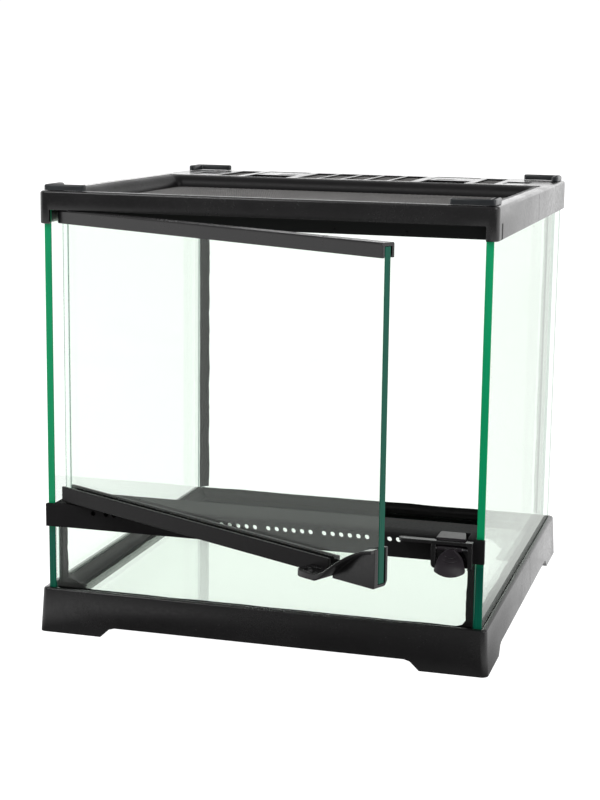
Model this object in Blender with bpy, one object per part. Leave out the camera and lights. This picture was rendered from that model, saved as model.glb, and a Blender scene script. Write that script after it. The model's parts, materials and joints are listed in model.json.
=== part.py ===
"""Small front-opening glass terrarium with one hinged glass door and a lift-off mesh lid."""
import math
import bmesh
import bpy
from mathutils import Matrix, Vector

# ---------------------------------------------------------------- driving sizes (metres)
TANK_W = 0.300          # glass box, outside width
TANK_D = 0.300          # glass box, outside depth
TANK_H = 0.3006         # floor to top of the upper frame
GLASS_T = 0.005         # every pane
GAP = 0.0003            # fitting gap between touching pieces
WALL = 0.0027           # upper frame wall outside the glass
BASE_WALL = 0.0036      # lower frame wall outside the glass
BASE_H = 0.0305         # lower frame height
BASE_DRAFT = 0.0017     # how far the lower frame leans in over its height
LEDGE_Z = 0.020         # the panes stand on this ledge
ARCH_H = 0.0068         # clearance arch between the feet
FOOT_L = 0.0450         # length of a foot along the side
ARCH_SLOPE = 0.0080     # run of the arch's sloping end
TOP_H = 0.0216          # upper frame height
BAND_H = 0.0123         # height of the upper frame's front band above the door
RIM_W = 0.0081          # flat rim of the upper frame
LID_FRAME_W = 0.0096    # width of the lid's rounded frame
STRIP_D = 0.081         # depth of the rear strip behind the lid
RAIL_TOP = 0.0902       # top of the front vent rail
RAIL_H = 0.0162         # height of the rail's front face
RAIL_D = 0.036          # depth of the rail's shelf
VENT_R = 0.00175        # vent hole radius
VENT_PITCH = 0.00576    # hole to hole
VENT_GROUP = 0.03795    # group to group
VENT_COUNT = 6          # holes in a full group
DOOR_T = 0.010          # thickness over the door's channels
DOOR_GAP = 0.0008       # door to rail
CHANNEL_WALL = 0.0017   # channel side walls
TOP_CH_H = 0.0085       # upper channel height
LOW_CH_H = 0.0104       # lower channel height
HINGE_INSET = 0.0158    # hinge axis from the tank's left face
DOOR_INSET = 0.0070     # closed door's free end from the tank's right face
HANDLE_TOP = 0.0232     # handle above the door's lower edge
HANDLE_L = 0.032        # length of the handle's body
HANDLE_GAP = 0.0045     # lower channel to the handle
EYE_R = 0.0047          # padlock eye
EYE_BACK = 0.0421       # padlock eye from the door's free end
PIN_R = 0.0015          # hinge pins
PIN_CLEAR = 0.00005     # running clearance of the hinge and latch pins
DOOR_OPEN = 27.1        # degrees from closed in the pose as built
PAD_H = 0.0038          # height of the corner pads
PAD_W = 0.0050          # width of the corner pads' legs
PAD_LONG = 0.0293       # corner pad leg along the front
PAD_SHORT = 0.0240      # corner pad leg along the side
LATCH_W = 0.0267        # width of the latch housing
LATCH_INSET = 0.0058    # latch housing from the tank's right face
LATCH_D = 0.0070        # latch housing in front of the rail
LATCH_PIN_R = 0.001     # latch pin radius
TAB_W = 0.0203          # width of the thumb tab
PORT_X0 = 0.0520        # cable port slide, inner side
PORT_X1 = 0.0870        # cable port slide, outer side
COVER_L = 0.0397        # sliding cover's length
WINDOW_W = 0.0165       # vent window in the rear strip
WINDOW_PITCH = 0.0184   # window to window
SIDE_WINDOW_X = 0.0925  # inner side of the outer windows
MESH_T = 0.0008         # mesh sheets
DECK_SKIN = 0.0009      # plastic over the edges of the vent meshes

# ---------------------------------------------------------------- derived sizes
HX = TANK_W / 2
HY = TANK_D / 2
INNER_X = HX - GLASS_T
INNER_Y = HY - GLASS_T
FRAME_X = HX + GAP + WALL
FRAME_Y = HY + GAP + WALL
TOP_Z0 = TANK_H - TOP_H
BAND_Z0 = TANK_H - BAND_H
PANE_TOP = BAND_Z0 - GAP
PANE_Z0 = LEDGE_Z + GAP
FLOOR_Z = PANE_Z0 + GLASS_T
RAIL_Z0 = RAIL_TOP - RAIL_H
SEAT_Z = TANK_H - 0.010
LID_Z0 = SEAT_Z + GAP
LID_Z1 = TANK_H - GAP
LID_X = FRAME_X - RIM_W - GAP
LID_Y0 = -FRAME_Y + RIM_W + GAP
LID_Y1 = FRAME_Y - STRIP_D - GAP
DOOR_Z0 = RAIL_TOP + DOOR_GAP
DOOR_Z1 = BAND_Z0 - 0.0004
HINGE_X = -HX + HINGE_INSET
HINGE_Y = -FRAME_Y + 0.001 + DOOR_T / 2
DOOR_S0 = -0.004
DOOR_S1 = HX - DOOR_INSET - HINGE_X
RAIL_WALL = 0.0025
RAIL_GLASS_TOP = RAIL_TOP - 0.009
VENT_FIRST = -0.0310 - 2 * VENT_GROUP
VENT_Z = RAIL_TOP - 0.0047
HINGE_BLOCK_X1 = VENT_FIRST + 2 * VENT_PITCH + 0.0030
LINTEL_Y = HINGE_Y + math.hypot(DOOR_S0, DOOR_T / 2) + 0.0004
WIN_Y0 = FRAME_Y - STRIP_D + 0.0055
WIN_Y1 = FRAME_Y - 0.0100
LATCH_X1 = HX - LATCH_INSET
LATCH_X0 = LATCH_X1 - LATCH_W
LATCH_Y0 = -FRAME_Y - LATCH_D
PIVOT_Y = LATCH_Y0 + 0.0028
PIVOT_Z = RAIL_TOP - 0.0060
PAD_X0 = LATCH_X0 + 0.0024
PAD_X1 = LATCH_X1 - 0.0050
PAD_TAPER = 0.0030
LEVER_PAD_Y0 = LATCH_Y0 + 0.0042
LEVER_PAD_Y1 = -FRAME_Y + 0.0130
COIL_R = 0.00140
COIL_WIRE = 0.00020
PORT_Y0 = FRAME_Y - 0.0795
PORT_Y1 = FRAME_Y - 0.0045
PORT_FLOOR = TANK_H - 0.0024

for thing in list(bpy.data.objects):
    bpy.data.objects.remove(thing, do_unlink=True)


# ---------------------------------------------------------------- materials
def principled(name, colour, rough, metal=0.0, glassy=0.0):
    mat = bpy.data.materials.new(name)
    mat.use_nodes = True
    node = mat.node_tree.nodes["Principled BSDF"]
    node.inputs["Base Color"].default_value = (colour[0], colour[1], colour[2], 1.0)
    node.inputs["Roughness"].default_value = rough
    node.inputs["Metallic"].default_value = metal
    node.inputs["Transmission Weight"].default_value = glassy
    return mat


BLACK = (0.022, 0.022, 0.024)
SPEC = {
    "plastic": (BLACK, 0.42, 0.0, 0.0),
    "glass": ((0.86, 0.96, 0.91), 0.02, 0.0, 0.95),
    "silicone": ((0.012, 0.012, 0.013), 0.35, 0.0, 0.0),
    "steel": ((0.62, 0.62, 0.63), 0.28, 1.0, 0.0),
    "mesh": ((0.035, 0.032, 0.030), 0.5, 1.0, 0.0),
    "pad": ((0.018, 0.021, 0.024), 0.5, 0.0, 0.0),
}


# ---------------------------------------------------------------- mesh helpers
def finish(bm):
    bmesh.ops.remove_doubles(bm, verts=bm.verts, dist=1e-7)
    bmesh.ops.recalc_face_normals(bm, faces=bm.faces)
    return bm


def make(name, bm, kind, at=(0.0, 0.0, 0.0), turn=0.0):
    """Turn a bmesh in world metres into a named object whose origin is at `at`."""
    finish(bm)
    origin = Matrix.Translation(Vector(at))
    bmesh.ops.transform(bm, matrix=origin.inverted(), verts=bm.verts)
    data = bpy.data.meshes.new(name)
    bm.to_mesh(data)
    bm.free()
    obj = bpy.data.objects.new(name, data)
    bpy.context.scene.collection.objects.link(obj)
    obj.location = at
    obj.rotation_euler = (0.0, 0.0, turn)
    colour, rough, metal, glassy = SPEC[kind]
    data.materials.append(principled(name + "_" + kind, colour, rough, metal, glassy))
    return obj


def prism(bm, pts, axis, lo, hi):
    """Extrude a closed outline along X, Y or Z; the outline holds the other two coordinates."""
    def place(pt, at):
        if axis == "X":
            return (at, pt[0], pt[1])
        if axis == "Y":
            return (pt[0], at, pt[1])
        return (pt[0], pt[1], at)
    low = [bm.verts.new(place(p, lo)) for p in pts]
    high = [bm.verts.new(place(p, hi)) for p in pts]
    count = len(pts)
    bm.faces.new(low)
    bm.faces.new(list(reversed(high)))
    for i in range(count):
        j = (i + 1) % count
        bm.faces.new((low[i], high[i], high[j], low[j]))
    return bm


def box(bm, x0, x1, y0, y1, z0, z1):
    return prism(bm, [(x0, y0), (x1, y0), (x1, y1), (x0, y1)], "Z", z0, z1)


def circle(cx, cy, r, count):
    turn = 2 * math.pi / count
    return [(cx + r * math.cos(i * turn), cy + r * math.sin(i * turn)) for i in range(count)]


def rounded(x0, x1, y0, y1, r, steps=5):
    """Counter-clockwise rounded rectangle with the same point count for every radius."""
    pts = []
    corners = ((x1 - r, y1 - r, 0), (x0 + r, y1 - r, 90), (x0 + r, y0 + r, 180), (x1 - r, y0 + r, 270))
    for cx, cy, start in corners:
        for k in range(steps + 1):
            a = math.radians(start + 90.0 * k / steps)
            pts.append((cx + r * math.cos(a), cy + r * math.sin(a)))
    return pts


def ring(bm, x0, x1, y0, y1, profile, steps=5):
    """Closed frame: profile points are (inset, z, corner radius) joined around the rectangle."""
    loops = []
    for inset, z, r in profile:
        pts = rounded(x0 + inset, x1 - inset, y0 + inset, y1 - inset, r, steps)
        loops.append([bm.verts.new((p[0], p[1], z)) for p in pts])
    count = len(loops[0])
    for k in range(len(loops)):
        a = loops[k]
        b = loops[(k + 1) % len(loops)]
        for i in range(count):
            j = (i + 1) % count
            bm.faces.new((a[i], a[j], b[j], b[i]))
    return bm


def stack(bm, loops):
    """Closed solid through a list of equal vertex loops, capped at both ends."""
    rows = [[bm.verts.new(p) for p in loop] for loop in loops]
    count = len(rows[0])
    for a, b in zip(rows[:-1], rows[1:]):
        for i in range(count):
            j = (i + 1) % count
            bm.faces.new((a[i], a[j], b[j], b[i]))
    bm.faces.new(list(reversed(rows[0])))
    bm.faces.new(rows[-1])
    return bm


def boolean(obj, bm, op):
    """Apply one exact Boolean with a temporary tool, then remove the tool."""
    finish(bm)
    data = bpy.data.meshes.new("tool")
    bm.to_mesh(data)
    bm.free()
    tool = bpy.data.objects.new("tool", data)
    bpy.context.scene.collection.objects.link(tool)
    tool.location = obj.location
    tool.hide_render = True
    tool.display_type = "WIRE"
    back = Matrix.Translation(obj.location).inverted()
    data.transform(back)
    tool.rotation_euler = obj.rotation_euler
    mod = obj.modifiers.new("cut", "BOOLEAN")
    mod.solver = "EXACT"
    mod.operation = op
    mod.object = tool
    bpy.context.view_layer.update()
    graph = bpy.context.evaluated_depsgraph_get()
    result = bpy.data.meshes.new_from_object(obj.evaluated_get(graph))
    obj.modifiers.remove(mod)
    old = obj.data
    obj.data = result
    result.name = obj.name
    bpy.data.meshes.remove(old)
    bpy.data.objects.remove(tool, do_unlink=True)
    work = bmesh.new()
    work.from_mesh(result)
    bmesh.ops.remove_doubles(work, verts=work.verts, dist=2e-6)
    bmesh.ops.dissolve_degenerate(work, dist=2e-6, edges=work.edges)
    work.to_mesh(result)
    work.free()
    return obj


def cut(obj, bm):
    return boolean(obj, bm, "DIFFERENCE")


def join(obj, bm):
    return boolean(obj, bm, "UNION")


# ---------------------------------------------------------------- lower frame
def base_frame():
    outer_x = HX + GAP + BASE_WALL + BASE_DRAFT
    outer_y = HY + GAP + BASE_WALL + BASE_DRAFT
    seat = outer_x - HX - GAP
    skin = BASE_WALL
    ledge = seat + 0.0123
    lean = BASE_DRAFT * (BASE_H - 0.0014) / BASE_H
    profile = (
        (0.0, 0.0, 0.0045),
        (lean, BASE_H - 0.0014, 0.0042),
        (lean + 0.0003, BASE_H - 0.0005, 0.0040),
        (lean + 0.0012, BASE_H, 0.0034),
        (seat, BASE_H, 0.0005),
        (seat, LEDGE_Z, 0.0005),
        (ledge, LEDGE_Z, 0.0005),
        (ledge, LEDGE_Z - 0.0025, 0.0005),
        (skin + 0.0013, LEDGE_Z - 0.0025, 0.003),
        (skin, 0.0, 0.004),
    )
    bm = ring(bmesh.new(), -outer_x, outer_x, -outer_y, outer_y, profile)
    obj = make("base_frame", bm, "plastic")
    soles = bmesh.new()
    reach = FOOT_L - 0.004
    for sx in (-1, 1):
        for sy in (-1, 1):
            xs = sorted((sx * (outer_x - 0.0015), sx * (outer_x - reach)))
            ys = sorted((sy * (outer_y - 0.0015), sy * (outer_y - reach)))
            box(soles, xs[0], xs[1], ys[0], ys[1], 0.0, 0.0022)
    join(obj, soles)
    for axis, half, far in (("Y", outer_x, outer_y), ("X", outer_y, outer_x)):
        run = half - FOOT_L
        top = run - ARCH_SLOPE
        pts = [(-run - ARCH_SLOPE / 4, -ARCH_H / 4), (run + ARCH_SLOPE / 4, -ARCH_H / 4)]
        pts += [(top + 0.002, ARCH_H - 0.0011), (top - 0.002, ARCH_H)]
        pts += [(-top + 0.002, ARCH_H), (-top - 0.002, ARCH_H - 0.0011)]
        cut(obj, prism(bmesh.new(), pts, axis, -far - 0.01, far + 0.01))
    seams = bmesh.new()
    for sx in (-1, 1):
        xs = sorted((sx * (outer_x - BASE_DRAFT - 0.0005), sx * (outer_x + 0.002)))
        box(seams, xs[0], xs[1], 0.0266, 0.0271, ARCH_H + 0.0015, BASE_H + 0.002)
    cut(obj, seams)
    return obj


# ---------------------------------------------------------------- glass and silicone
def pane(name, x0, x1, y0, y1, z0, z1):
    """Flat pane with a fine ground edge all round."""
    e = 0.0004
    spans = sorted(((x1 - x0, "X"), (y1 - y0, "Y"), (z1 - z0, "Z")))
    axis = spans[0][1]
    a0, a1, b0, b1, lo, hi = x0, x1, y0, y1, z0, z1
    if axis == "X":
        a0, a1, b0, b1, lo, hi = y0, y1, z0, z1, x0, x1
    if axis == "Y":
        a0, a1, b0, b1, lo, hi = x0, x1, z0, z1, y0, y1

    def at(p, w):
        if axis == "X":
            return (w, p[0], p[1])
        if axis == "Y":
            return (p[0], w, p[1])
        return (p[0], p[1], w)
    loops = []
    for inset, w in ((e, lo), (0.0, lo + e), (0.0, hi - e), (e, hi)):
        pts = ((a0 + inset, b0 + inset), (a1 - inset, b0 + inset))
        pts += ((a1 - inset, b1 - inset), (a0 + inset, b1 - inset))
        loops.append([at(p, w) for p in pts])
    return stack(bmesh.new(), loops)


def glass_box():
    make("left_glass", pane("l", -HX, -INNER_X, -HY, HY, PANE_Z0, PANE_TOP), "glass")
    make("right_glass", pane("r", INNER_X, HX, -HY, HY, PANE_Z0, PANE_TOP), "glass")
    side = INNER_X - GAP
    make("back_glass", pane("b", -side, side, INNER_Y, HY, PANE_Z0, PANE_TOP), "glass")
    make("front_lower_glass", pane("f", -side, side, -HY, -INNER_Y, PANE_Z0, RAIL_GLASS_TOP), "glass")
    back = INNER_Y - GAP
    make("bottom_glass", pane("g", -side, side, -back, back, PANE_Z0, FLOOR_Z), "glass")


def fillet_outline(cx, cy, sx, sy, leg):
    """Concave silicone fillet in a corner; the corner point is (cx, cy)."""
    pts = [(cx, cy)]
    for k in range(7):
        a = math.radians(90.0 * k / 6)
        pts.append((cx + sx * leg * (1 - 0.82 * math.sin(a)), cy + sy * leg * (1 - 0.82 * math.cos(a))))
    first = (cx + sx * leg, cy)
    last = (cx, cy + sy * leg)
    return [pts[0], first] + pts[1:] + [last]


def silicone():
    x = INNER_X - GAP
    y = INNER_Y - GAP
    start = FLOOR_Z + 0.0085
    for name, sx, sy, z1 in (
        ("seam_rear_left", -1, 1, PANE_TOP - 0.0105),
        ("seam_rear_right", 1, 1, PANE_TOP - 0.0105),
        ("seam_front_left", -1, -1, RAIL_TOP - 0.017),
        ("seam_front_right", 1, -1, RAIL_TOP - 0.017),
    ):
        pts = fillet_outline(sx * x, sy * y, -sx, -sy, 0.0062)
        make(name, prism(bmesh.new(), pts, "Z", start, z1), "silicone")
    z0 = FLOOR_Z + GAP
    profile = ((0.0, z0, 0.0004), (0.0, z0 + 0.007, 0.0004), (0.0008, z0 + 0.0068, 0.0004))
    profile += ((0.0016, z0 + 0.0042, 0.0006), (0.0034, z0 + 0.0018, 0.0008))
    profile += ((0.0062, z0 + 0.0007, 0.001), (0.0066, z0, 0.001))
    make("seam_bottom", ring(bmesh.new(), -x, x, -y, y, profile, 2), "silicone")


# ---------------------------------------------------------------- front vent rail
def vent_positions():
    spots = [VENT_FIRST - VENT_GROUP + (VENT_COUNT - 1) * VENT_PITCH]
    for g in range(6):
        for k in range(VENT_COUNT):
            spots.append(VENT_FIRST + g * VENT_GROUP + k * VENT_PITCH)
    return [s for s in spots if HINGE_X + 0.009 < s < LATCH_X0 - 0.020]


def front_rail():
    y0 = -FRAME_Y
    y1 = y0 + RAIL_D
    side = INNER_X - GAP
    shelf = 0.0018
    wall = RAIL_WALL
    pts = [(y0, RAIL_Z0 + 0.0006), (y0 + 0.0006, RAIL_Z0), (y0 + wall, RAIL_Z0)]
    pts += [(y0 + wall, RAIL_TOP - shelf), (y1 - 0.0016, RAIL_TOP - shelf), (y1 - 0.0016, RAIL_TOP - 0.006)]
    pts += [(y1, RAIL_TOP - 0.006), (y1, RAIL_TOP - 0.0004), (y1 - 0.0004, RAIL_TOP)]
    pts += [(y0 + 0.0012, RAIL_TOP), (y0 + 0.0003, RAIL_TOP - 0.0004), (y0, RAIL_TOP - 0.0012)]
    obj = make("front_rail", prism(bmesh.new(), pts, "X", -side, side), "plastic")
    ends = bmesh.new()
    for sx in (-1, 1):
        xs = sorted((sx * (side - 0.004), sx * (HX + 0.0006)))
        ends_y1 = -HY - GAP
        box(ends, xs[0], xs[1], y0, ends_y1, RAIL_Z0, RAIL_TOP - 0.0006)
    join(obj, ends)
    tabs = bmesh.new()
    glass_back = -INNER_Y + GAP
    glass_top = RAIL_GLASS_TOP + GAP
    for g in range(1, 6):
        x = VENT_FIRST + g * VENT_GROUP - VENT_R - 0.0048
        pts = [(y0 + 0.001, glass_top), (glass_back, glass_top), (glass_back, RAIL_Z0 + 0.001)]
        pts += [(glass_back + 0.0018, RAIL_Z0 + 0.001), (glass_back + 0.0018, RAIL_TOP - 0.001)]
        pts += [(y0 + 0.001, RAIL_TOP - 0.001)]
        prism(tabs, pts, "X", x - 0.0006, x + 0.0006)
    join(obj, tabs)
    solid = bmesh.new()
    box(solid, HINGE_X - 0.005, HINGE_BLOCK_X1, y0 + 0.001, HINGE_Y + 0.0055, glass_top, RAIL_TOP - 0.0005)
    box(solid, LATCH_X0, LATCH_X1 - 0.002, y0 + 0.001, y0 + 0.0165, glass_top, RAIL_TOP - 0.0005)
    join(obj, solid)
    holes = bmesh.new()
    for x in vent_positions():
        prism(holes, circle(x, VENT_Z, VENT_R, 12), "Y", y0 - 0.002, y0 + wall + 0.0008)
    cut(obj, holes)
    pocket = bmesh.new()
    side_gap = 0.0004
    pocket_z0 = RAIL_TOP - 0.0047
    pocket_y1 = LEVER_PAD_Y1 + 0.0011
    box(pocket, PAD_X0 - side_gap, PAD_X1 + side_gap, y0 - 0.001, pocket_y1, pocket_z0, RAIL_TOP + 0.001)
    cut(obj, pocket)
    hinge_hole = circle(HINGE_X, HINGE_Y, PIN_R + PIN_CLEAR, 24)
    cut(obj, prism(bmesh.new(), hinge_hole, "Z", RAIL_TOP - 0.0045, RAIL_TOP + 0.001))
    hump = []
    hump_x = HINGE_X + 0.0025
    hump_z = RAIL_TOP - 0.0005
    for k in range(13):
        a = math.radians(180.0 * k / 12)
        hump.append((hump_x + 0.0075 * math.cos(a), hump_z + 0.0058 * math.sin(a) ** 0.6))
    hump.reverse()
    join(obj, prism(bmesh.new(), hump, "Y", y0 + 0.017, y0 + 0.026))
    return obj


# ---------------------------------------------------------------- latch
def latch_housing():
    y0 = LATCH_Y0
    y1 = -FRAME_Y - GAP
    z0 = RAIL_TOP - 0.0190
    z1 = RAIL_TOP - 0.0010
    out = rounded(LATCH_X0, LATCH_X1, z0, z1 - 0.0005, 0.003, 4)
    obj = make("latch_housing", prism(bmesh.new(), out, "Y", y0, y1), "plastic")
    plate_x0 = LATCH_X0 - 0.0215
    r = (y1 - y0) / 2
    pts = [(LATCH_X1, y0), (LATCH_X1, y1), (plate_x0 + r, y1)]
    for k in range(1, 8):
        a = math.radians(90 + 180.0 * k / 8)
        pts.append((plate_x0 + r + r * math.cos(a), (y0 + y1) / 2 + r * math.sin(a)))
    pts.append((plate_x0 + r, y0))
    plate = stack(bmesh.new(), [[(p[0], p[1], z1 - 0.0021) for p in pts], [(p[0], p[1], z1) for p in pts]])
    join(obj, plate)
    room = bmesh.new()
    inner = rounded(LATCH_X0 + 0.0030, LATCH_X1 - 0.0030, z0 - 0.004, z1 - 0.0022, 0.0012, 3)
    prism(room, inner, "Y", y0 - 0.001, y1 - 0.0017)
    cut(obj, room)
    slot = bmesh.new()
    slot_y0 = LEVER_PAD_Y0 - 0.0006
    box(slot, PAD_X0 - 0.0004, PAD_X1 + 0.0004, slot_y0, y1 + 0.001, PIVOT_Z - 0.0007, z1 + 0.001)
    cut(obj, slot)
    bore = circle(PIVOT_Y, PIVOT_Z, LATCH_PIN_R + GAP, 16)
    cut(obj, prism(bmesh.new(), bore, "X", LATCH_X0 + 0.0008, LATCH_X1 - 0.0008))
    pin = circle(PIVOT_Y, PIVOT_Z, LATCH_PIN_R, 16)
    make("latch_pin", prism(bmesh.new(), pin, "X", LATCH_X0 + 0.0011, LATCH_X1 - 0.0011), "steel")
    return obj


def latch_face(cx, z_hi, z_lo, width, rows, cols):
    """Front and rear point grids of the thumb tab: domed outline, scooped face, lip at the bottom."""
    face = []
    back = []
    for i in range(rows + 1):
        t = i / rows
        z = z_hi + (z_lo - z_hi) * t
        half = 0.5 * width * (0.30 + 0.36 * (1 - (1 - t) ** 4) + 0.34 * t)
        half *= 1.0 - 0.05 * max(0.0, (t - 0.90) / 0.10) ** 2
        step = min(1.0, max(0.0, (t - 0.45) / 0.25))
        y_back = LATCH_Y0 + 0.0008 - 0.0014 * step
        line = []
        rear = []
        for j in range(cols + 1):
            u = -1 + 2 * j / cols
            sag = 0.0031 * (1 - u * u) * t ** 3 + 0.0012 * u * u * (1 - t) ** 3
            dish = 0.0011 * (1 - u * u) * math.sin(math.pi * min(1.0, t * 1.12))
            lip = 0.0026 * max(0.0, (t - 0.60) / 0.40) ** 1.5
            edge = 0.0006 * abs(u) ** 8
            line.append((cx + half * u, LATCH_Y0 - 0.0018 + dish - lip + edge, z - sag))
            rear.append((cx + half * u, y_back, z - sag))
        face.append(line)
        back.append(rear)
    return face, back


def slab(bm, face, back):
    """Closed solid between two equal point grids."""
    front = [[bm.verts.new(p) for p in line] for line in face]
    rear = [[bm.verts.new(p) for p in line] for line in back]
    rows = len(front) - 1
    cols = len(front[0]) - 1
    for i in range(rows):
        for j in range(cols):
            bm.faces.new((front[i][j], front[i + 1][j], front[i + 1][j + 1], front[i][j + 1]))
            bm.faces.new((rear[i][j], rear[i][j + 1], rear[i + 1][j + 1], rear[i + 1][j]))
        bm.faces.new((front[i][0], rear[i][0], rear[i + 1][0], front[i + 1][0]))
        bm.faces.new((front[i][cols], front[i + 1][cols], rear[i + 1][cols], rear[i][cols]))
    for j in range(cols):
        bm.faces.new((front[0][j], front[0][j + 1], rear[0][j + 1], rear[0][j]))
        bm.faces.new((front[rows][j], rear[rows][j], rear[rows][j + 1], front[rows][j + 1]))
    return bm


def latch_lever():
    pivot = ((PAD_X0 + PAD_X1) / 2, PIVOT_Y, PIVOT_Z)
    hub_x0 = LATCH_X0 + 0.0036
    hub_x1 = LATCH_X1 - 0.0070
    hub = circle(PIVOT_Y, PIVOT_Z, LATCH_PIN_R + 0.0009, 20)
    obj = make("latch_lever", prism(bmesh.new(), hub, "X", hub_x0, hub_x1), "plastic", pivot)
    top = RAIL_TOP + 0.0003
    ease = 0.0003
    pts = rounded(PAD_X0, PAD_X1, LEVER_PAD_Y0, LEVER_PAD_Y1, 0.0010, 3)
    small = rounded(PAD_X0 + ease, PAD_X1 - ease, LEVER_PAD_Y0 + ease, LEVER_PAD_Y1 - ease, 0.0008, 3)
    slope = PAD_TAPER / (LEVER_PAD_Y1 - LEVER_PAD_Y0)
    middle = (PAD_X0 + PAD_X1) / 2
    loops = []
    for z, line in ((top - 0.0018, pts), (top - ease, pts), (top, small)):
        loop = []
        for x, y in line:
            lean = slope * (y - LEVER_PAD_Y0) if x > middle else 0.0
            loop.append((x - lean, y, z))
        loops.append(loop)
    join(obj, stack(bmesh.new(), loops))
    arm_y1 = LEVER_PAD_Y0 + 0.0016
    arm_x0 = hub_x0 + 0.0006
    arm_x1 = hub_x1 - 0.0006
    arm_z0 = PIVOT_Z + 0.0003
    join(obj, box(bmesh.new(), arm_x0, arm_x1, LEVER_PAD_Y0 - 0.0002, arm_y1, arm_z0, top - 0.0012))
    cx = (LATCH_X0 + LATCH_X1) / 2 - 0.0006
    z_hi = RAIL_TOP - 0.0054
    face, back = latch_face(cx, z_hi, RAIL_TOP - 0.0200, TAB_W, 15, 14)
    join(obj, slab(bmesh.new(), face, back))
    link_z = PIVOT_Z - 0.0045
    link_x = 0.0040
    link_y0 = LATCH_Y0 + 0.0002
    join(obj, box(bmesh.new(), cx - link_x, cx + link_x, link_y0, PIVOT_Y, link_z, PIVOT_Z + 0.0004))
    eye = circle(PIVOT_Y, PIVOT_Z, LATCH_PIN_R + PIN_CLEAR, 20)
    cut(obj, prism(bmesh.new(), eye, "X", hub_x0 - 0.001, hub_x1 + 0.001))
    ridges = bmesh.new()
    half_line = 0.0002
    for n in range(3):
        r_arc = 0.0050 + 0.0028 * n
        outer = []
        inner = []
        for k in range(9):
            a = math.radians(220 + 100.0 * k / 8)
            ux = math.cos(a)
            uz = math.sin(a)
            outer.append((cx + (r_arc + half_line) * ux, z_hi - 0.0012 + (r_arc + half_line) * uz))
            inner.append((cx + (r_arc - half_line) * ux, z_hi - 0.0012 + (r_arc - half_line) * uz))
        proud = LATCH_Y0 - 0.0014 + 0.0002 * n
        prism(ridges, outer + list(reversed(inner)), "Y", proud, LATCH_Y0 + 0.0004)
    join(obj, ridges)
    return obj


def coil(name, x0, x1, cy, cz, radius, wire, turns, kind):
    """Helical torsion spring around an X axis with closed ends."""
    steps = int(turns * 12)
    sides = 6
    loops = []
    for i in range(steps + 1):
        a = 2 * math.pi * i / 12
        x = x0 + (x1 - x0) * i / steps
        centre = Vector((x, cy + radius * math.cos(a), cz + radius * math.sin(a)))
        out = Vector((0.0, math.cos(a), math.sin(a)))
        side = Vector((1.0, 0.0, 0.0))
        loop = []
        for k in range(sides):
            b = 2 * math.pi * k / sides
            loop.append(tuple(centre + wire * (math.cos(b) * out + math.sin(b) * side)))
        loops.append(loop)
    return make(name, stack(bmesh.new(), loops), kind)


# ---------------------------------------------------------------- upper frame
def vent_areas():
    y0 = WIN_Y0 - 0.0022
    y1 = FRAME_Y - RIM_W - GAP
    lap = 0.0024
    centre = 2 * WINDOW_PITCH + WINDOW_W / 2 + lap
    side0 = SIDE_WINDOW_X - lap + 0.0008
    side1 = SIDE_WINDOW_X + WINDOW_W + lap - 0.0004
    return (
        ("vent_mesh_centre", -centre, centre, y0, y1),
        ("vent_mesh_left", -side1, -side0, y0, y1),
        ("vent_mesh_right", side0, side1, y0, y1),
    )


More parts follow.
